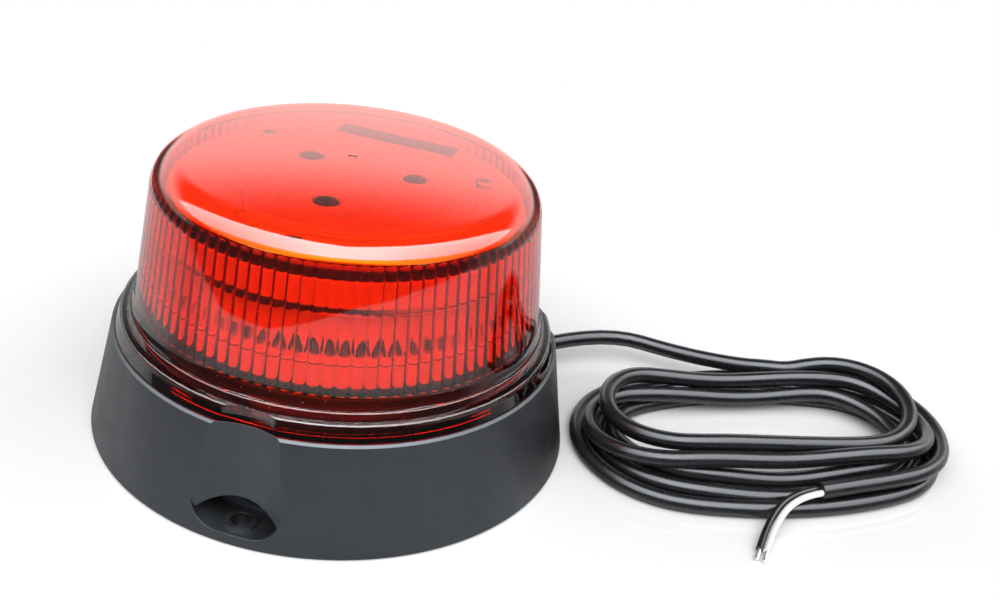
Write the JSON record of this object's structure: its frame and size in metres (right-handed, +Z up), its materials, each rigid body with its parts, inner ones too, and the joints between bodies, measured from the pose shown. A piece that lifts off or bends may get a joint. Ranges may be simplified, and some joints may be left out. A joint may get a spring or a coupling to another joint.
{
  "type": "warning beacon",
  "caption": "Round flat warning beacon: red ribbed dome lens on a black flared base with scooped bolt recesses, and a coiled two-core lead with bare ends.",
  "frame": {"origin": "centre of the mounting face, at the bottom of the base", "axes": "+Z up along the beacon's axis; +X towards the coiled lead; -Y towards the picture's camera"},
  "size_m": [0.2712, 0.1438, 0.0858],
  "materials": {
    "base": "satin moulded, fine grain",
    "lens": "clear red, polished",
    "seal": "matte",
    "reflector": "white moulded",
    "heat_sink": "bare extrusion",
    "led_board": "white solder mask",
    "led": "phosphor",
    "screw": "zinc plated",
    "dark_screw": "blackened",
    "label": "dark film, bare",
    "board": "green solder mask",
    "capacitor": "sleeved can",
    "inductor": "ferrite",
    "chip": "moulded",
    "terminal": "moulded",
    "inner_wire": "insulated",
    "cover": "moulded",
    "vent": "breather",
    "cable": "satin sheath",
    "white_core": "insulated",
    "black_core": "insulated",
    "tin": "tinned copper"
  },
  "bodies": {
    "root": {"base_housing": "base", "lens_dome": "lens", "lens_seal": "seal", "upper_reflector": "reflector", "reflector_drum": "reflector", "lower_reflector": "reflector", "heat_sink": "heat_sink", "led_board": "led_board", "led_packages": "led", "tower_screws": "screw", "cap_screws": "dark_screw", "label_strip": "label", "driver_board": "board", "board_screws": "screw", "capacitors": "capacitor", "inductor": "inductor", "driver_chips": "chip", "terminal_block": "terminal", "led_wires": "inner_wire", "bottom_cover": "cover", "cover_seal": "seal", "cover_screws": "screw", "vent_plug": "vent", "cable_grommet": "seal", "inner_lead": "cable", "inner_cores": "white_core", "cable_lead": "cable", "cable_coil": "cable", "cable_tail": "cable", "core_black": "black_core", "core_white": "white_core", "core_tips": "tin"}
  },
  "joints": []
}
